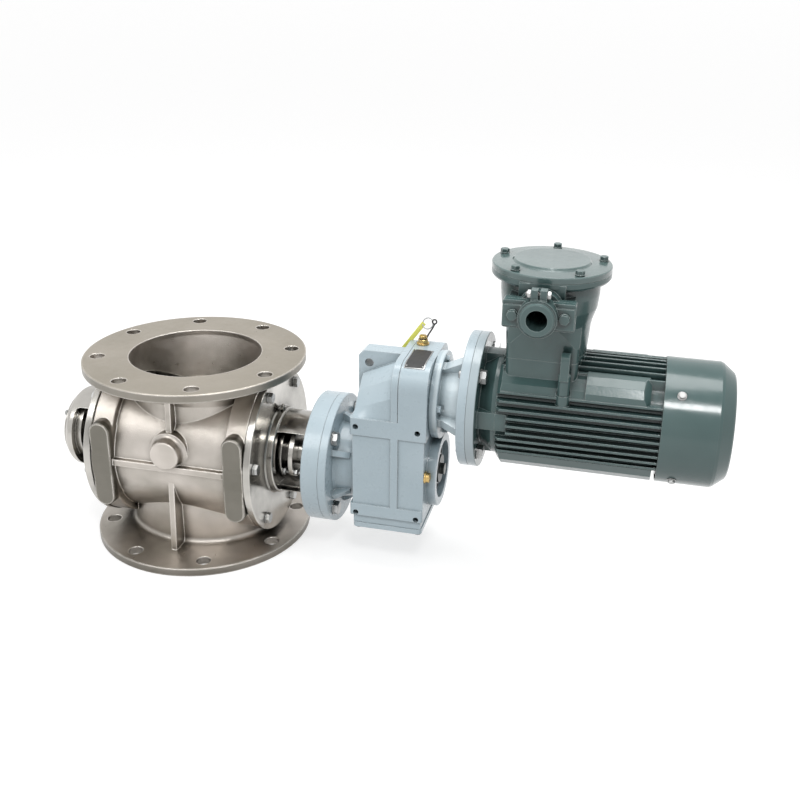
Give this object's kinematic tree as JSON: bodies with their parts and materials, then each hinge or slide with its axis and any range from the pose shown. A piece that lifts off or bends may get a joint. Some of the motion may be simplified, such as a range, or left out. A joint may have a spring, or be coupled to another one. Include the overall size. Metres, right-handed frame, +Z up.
{
  "type": "rotary airlock valve",
  "caption": "Rotary airlock valve with round inlet and outlet flanges, a vaned rotor on a keyed shaft, a parallel-shaft gear unit and a flanged motor with a terminal box.",
  "frame": {"origin": "centre of the outlet flange's underside", "axes": "+X along the shaft from the valve towards the motor, +Z up through the inlet, -Y to the side of the cable entry"},
  "size_m": [1.024, 0.3398, 0.4968],
  "materials": {
    "cast_stainless": "bead-blasted cast stainless steel",
    "turned_stainless": "turned satin stainless steel",
    "rotor_steel": "satin stainless steel",
    "zinc_bolts": "bright zinc",
    "gasket": "matt",
    "bearing_steel": "ground",
    "gear_steel": "machined and oiled",
    "grey_paint": "satin blue-grey paint",
    "case_aluminium": "satin blue-grey paint on cast aluminium",
    "seal_rubber": "matt",
    "brass": "bare",
    "motor_enamel": "glossy dark green-grey enamel",
    "housing_aluminium": "glossy dark green-grey enamel on cast aluminium",
    "cowl_sheet": "glossy dark green-grey enamel on sheet steel",
    "core_laminate": "varnished",
    "winding": "varnished winding",
    "moulding": "matt"
  },
  "bodies": {
    "frame": {"valve_body": "cast_stainless", "end_cover_drive": "turned_stainless", "end_cover_free": "turned_stainless", "cover_gaskets": "gasket", "cover_bolts": "zinc_bolts", "packing_rings": "gasket", "gland_follower_drive": "turned_stainless", "gland_follower_free": "turned_stainless", "gland_studs": "zinc_bolts", "rotor_bearing_outer_rings": "bearing_steel", "bearing_cap_free": "turned_stainless", "bearing_cap_screws": "zinc_bolts", "purge_plugs": "zinc_bolts", "adapter_flange": "grey_paint", "adapter_screws": "zinc_bolts", "gearbox_flange": "grey_paint", "gearbox_flange_bolts": "zinc_bolts", "neck_screws": "zinc_bolts", "gearbox_case": "case_aluminium", "gearbox_base_cover": "grey_paint", "base_cover_screws": "zinc_bolts", "gearbox_bearing_outer_rings": "bearing_steel", "shaft_seals": "seal_rubber", "breather": "brass", "oil_plugs": "brass", "motor_adapter": "grey_paint", "motor_adapter_screws": "grey_paint", "motor_flange_bolts": "zinc_bolts", "motor_front_shield": "motor_enamel", "stator_housing": "housing_aluminium", "stator_core": "core_laminate", "stator_windings": "winding", "motor_bearing_outer_rings": "bearing_steel", "motor_rear_shield": "motor_enamel", "fan_cowl": "cowl_sheet", "cowl_screws": "zinc_bolts", "terminal_box": "housing_aluminium", "terminal_lid": "motor_enamel", "lid_bolts": "motor_enamel", "terminal_block": "moulding", "cable_entry": "housing_aluminium", "cable_entry_bolts": "motor_enamel", "cable_pinch_bolt": "zinc_bolts", "lifting_eye": "motor_enamel"},
    "rotor": {"rotor": "rotor_steel", "rotor_shaft": "rotor_steel", "shaft_keys": "gear_steel", "rotor_bearing_inner_rings": "bearing_steel", "output_gear": "gear_steel", "output_hollow_shaft": "gear_steel", "shaft_retainer": "gear_steel"},
    "layshaft": {"layshaft": "gear_steel", "layshaft_gear": "gear_steel", "layshaft_inner_rings": "bearing_steel"},
    "motor_rotor": {"input_shaft": "gear_steel", "input_bearing_inner_rings": "bearing_steel", "motor_shaft": "gear_steel", "motor_rotor_core": "core_laminate", "motor_key": "gear_steel", "cooling_fan": "moulding"}
  },
  "joints": [
    {"name": "rotor_spin", "type": "hinge", "parent": "frame", "child": "rotor", "pos_m": [0, 0, 0.149], "axis": [1, 0, 0], "continuous": true},
    {"name": "layshaft_spin", "type": "hinge", "parent": "frame", "child": "layshaft", "pos_m": [0.35, 0.0094, 0.22038], "axis": [1, 0, 0], "continuous": true},
    {"name": "motor_spin", "type": "hinge", "parent": "frame", "child": "motor_rotor", "pos_m": [0.6, 0, 0.27331], "axis": [1, 0, 0], "continuous": true}
  ],
  "couplings": [
    {"joint": "layshaft_spin", "follows": "rotor_spin", "ratio": -5.5455},
    {"joint": "motor_spin", "follows": "rotor_spin", "ratio": 34.197}
  ]
}
